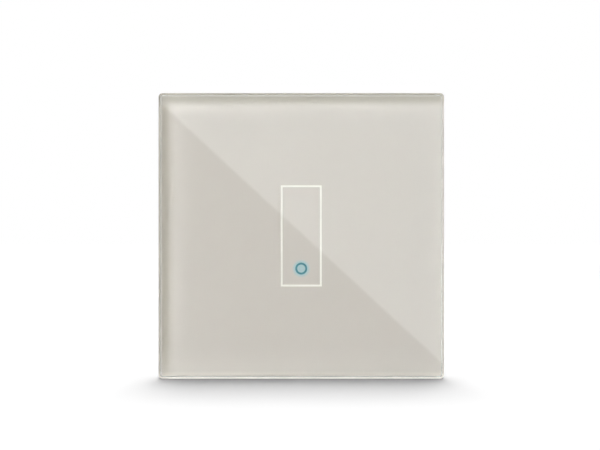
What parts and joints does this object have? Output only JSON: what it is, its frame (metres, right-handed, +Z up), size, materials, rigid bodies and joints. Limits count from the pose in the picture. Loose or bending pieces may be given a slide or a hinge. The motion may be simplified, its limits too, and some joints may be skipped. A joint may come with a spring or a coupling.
{
  "type": "smart light switch",
  "caption": "Wall-mounted smart touch switch with a square back-painted glass cover, outlined touch field and lit ring, on a clip-on frame over a boxed wall unit.",
  "frame": {"origin": "in the wall plane, midway between the two level slots for the box screws", "axes": "+X right, +Y into the wall, +Z up; the glass faces -Y"},
  "size_m": [0.088, 0.0375, 0.088],
  "materials": {
    "clear_glass": "clear toughened glass, polished edges",
    "greige_ink": "screen-printed greige ink under glass",
    "white_ink": "white ink under glass",
    "lit_ring": "translucent window with blue-green light",
    "foam_tape": "black foam tape",
    "frame_plastic": "moulded polycarbonate, off-white",
    "case_plastic": "moulded polycarbonate, off-white",
    "zinc_steel": "zinc-plated sheet steel",
    "spring_steel": "spring steel",
    "screw_steel": "zinc-plated steel",
    "clear_acrylic": "clear moulded acrylic",
    "plated_wire": "nickel-plated spring wire",
    "board_green": "glass-epoxy board, green mask",
    "board_dark": "glass-epoxy board, dark blue mask",
    "led_body": "lamp with clear resin",
    "chip_black": "black epoxy",
    "tinned_steel": "tinned sheet steel",
    "header_black": "black nylon with gold pins",
    "block_plastic": "green flame-proof nylon",
    "brass": "tinned brass",
    "relay_plastic": "black thermoplastic",
    "copper_wire": "enamelled copper wire",
    "soft_iron": "plated soft iron",
    "ferrite": "grey-black ferrite",
    "winding_tape": "yellow polyester tape",
    "can_sleeve": "black sleeved aluminium can",
    "film_case": "yellow plastic case",
    "disc_epoxy": "blue epoxy",
    "fuse_case": "brown plastic can"
  },
  "bodies": {
    "wall_unit": {"mount_plate": "zinc_steel", "cover_clips": "spring_steel", "front_housing": "case_plastic", "rear_housing": "case_plastic", "case_screws": "screw_steel", "light_pipe": "clear_acrylic", "touch_spring": "plated_wire", "touch_board": "board_green", "status_led": "led_body", "touch_chip": "chip_black", "radio_module": "board_dark", "shield_can": "tinned_steel", "header_socket": "header_black", "pin_header": "header_black", "power_board": "board_green", "terminal_block": "block_plastic", "contact_bars": "brass", "relay_case": "relay_plastic", "relay_base": "relay_plastic", "relay_coil": "copper_wire", "relay_yoke": "soft_iron", "relay_contacts": "brass", "transformer_core": "ferrite", "transformer_coil": "winding_tape", "smoothing_capacitors": "can_sleeve", "film_capacitor": "film_case", "varistor": "disc_epoxy", "fuse": "fuse_case", "rectifier": "chip_black", "converter_chip": "chip_black"},
    "cover": {"glass_panel": "clear_glass", "ink_coat": "greige_ink", "outline_print": "white_ink", "ring_lens": "lit_ring", "adhesive_tape": "foam_tape", "cover_frame": "frame_plastic"},
    "armature": {"relay_armature": "soft_iron"},
    "screw_1": {"terminal_screw_1": "screw_steel"},
    "cage_1": {"clamp_cage_1": "zinc_steel"},
    "screw_2": {"terminal_screw_2": "screw_steel"},
    "cage_2": {"clamp_cage_2": "zinc_steel"},
    "screw_3": {"terminal_screw_3": "screw_steel"},
    "cage_3": {"clamp_cage_3": "zinc_steel"}
  },
  "joints": [
    {"name": "cover_pull", "type": "slide", "parent": "wall_unit", "child": "cover", "axis": [0, -1, 0], "range_m": [0, 0.012], "deforming": ["cover_clips"]},
    {"name": "armature_tip", "type": "hinge", "parent": "wall_unit", "child": "armature", "pos_m": [-0.007, 0.0224, -0.0062], "axis": [0, 0, -1], "range_deg": [0, 3.2], "stiffness_Nm_per_rad": 0.002},
    {"name": "terminal_screw_turn_1", "type": "hinge", "parent": "wall_unit", "child": "screw_1", "pos_m": [-0.0072, 0.0269, -0.0201], "axis": [0, -1, 0], "range_deg": [0, 2520]},
    {"name": "clamp_rise_1", "type": "slide", "parent": "wall_unit", "child": "cage_1", "axis": [0, 1, 0], "range_m": [0, 0.0035]},
    {"name": "terminal_screw_turn_2", "type": "hinge", "parent": "wall_unit", "child": "screw_2", "pos_m": [0, 0.0269, -0.0201], "axis": [0, -1, 0], "range_deg": [0, 2520]},
    {"name": "clamp_rise_2", "type": "slide", "parent": "wall_unit", "child": "cage_2", "axis": [0, 1, 0], "range_m": [0, 0.0035]},
    {"name": "terminal_screw_turn_3", "type": "hinge", "parent": "wall_unit", "child": "screw_3", "pos_m": [0.0072, 0.0269, -0.0201], "axis": [0, -1, 0], "range_deg": [0, 2520]},
    {"name": "clamp_rise_3", "type": "slide", "parent": "wall_unit", "child": "cage_3", "axis": [0, 1, 0], "range_m": [0, 0.0035]}
  ],
  "couplings": [
    {"joint": "terminal_screw_turn_1", "follows": "clamp_rise_1", "rad_per_m": 12566},
    {"joint": "terminal_screw_turn_2", "follows": "clamp_rise_2", "rad_per_m": 12566},
    {"joint": "terminal_screw_turn_3", "follows": "clamp_rise_3", "rad_per_m": 12566}
  ]
}
